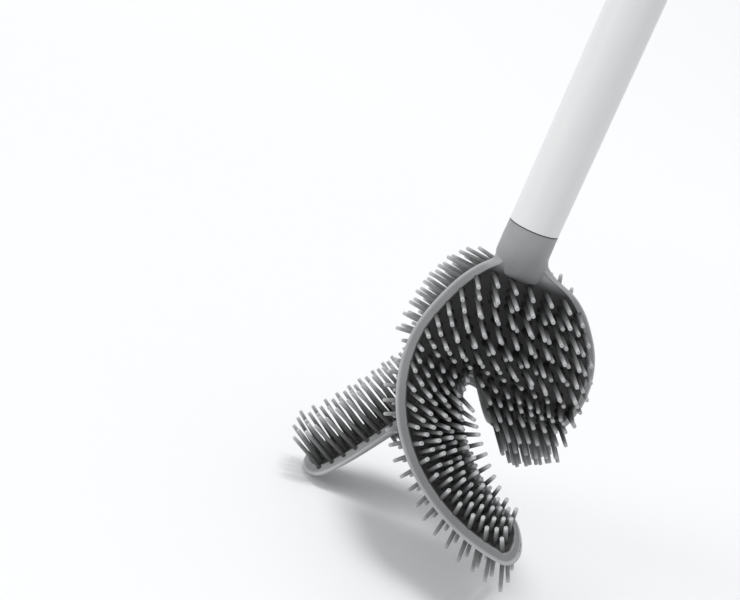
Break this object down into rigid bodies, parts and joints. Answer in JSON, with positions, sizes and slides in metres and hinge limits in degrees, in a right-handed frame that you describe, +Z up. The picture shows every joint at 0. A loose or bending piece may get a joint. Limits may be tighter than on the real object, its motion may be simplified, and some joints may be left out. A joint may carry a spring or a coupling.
{
  "type": "toilet brush",
  "caption": "Flexible toilet brush: round white handle, soft grey bristled head that splits into two curling arms, twist-off joint.",
  "frame": {"origin": "centre of the handle's lower end, at the seam between the white handle and the grey neck", "axes": "+Z up the handle towards the hand, -Y towards the front of the brush head, +X to the right of the head seen from its front"},
  "size_m": [0.1079, 0.1035, 0.4029],
  "materials": {
    "handle_white": "satin white plastic",
    "plug_white": "plain moulded plastic",
    "soft_grey": "matt soft grey rubber",
    "bristle_grey": "matt soft grey rubber",
    "core_grey": "plain moulded plastic",
    "seal_dark": "dark rubber"
  },
  "bodies": {
    "handle": {"handle_tube": "handle_white", "handle_plug": "plug_white", "handle_cap": "handle_white"},
    "head": {"seal_ring": "seal_dark", "neck_stud": "core_grey", "neck_sleeve": "soft_grey", "plate_core": "core_grey", "plate_front_pad": "soft_grey", "plate_back_pad": "soft_grey", "plate_rim": "soft_grey", "plate_front_bristles": "bristle_grey", "plate_back_bristles": "bristle_grey"},
    "arm_a": {"arm_a_core": "core_grey", "arm_a_front_pad": "soft_grey", "arm_a_back_pad": "soft_grey", "arm_a_rim": "soft_grey", "arm_a_front_bristles": "bristle_grey", "arm_a_back_bristles": "bristle_grey"},
    "arm_b": {"arm_b_core": "core_grey", "arm_b_front_pad": "soft_grey", "arm_b_back_pad": "soft_grey", "arm_b_rim": "soft_grey", "arm_b_front_bristles": "bristle_grey", "arm_b_back_bristles": "bristle_grey"}
  },
  "joints": [
    {"name": "head_release", "type": "slide", "parent": "handle", "child": "head", "axis": [0, 0, -1], "range_m": [0, 0.028]},
    {"name": "arm_a_flex", "type": "hinge", "parent": "head", "child": "arm_a", "pos_m": [-0.0146, -0.003, -0.064], "axis": [1, 0, 0], "range_deg": [-18, 5], "stiffness_Nm_per_rad": 0.4},
    {"name": "arm_b_flex", "type": "hinge", "parent": "head", "child": "arm_b", "pos_m": [0.025, -0.0014, -0.064], "axis": [1, 0, 0], "range_deg": [-5, 20], "stiffness_Nm_per_rad": 0.4}
  ]
}
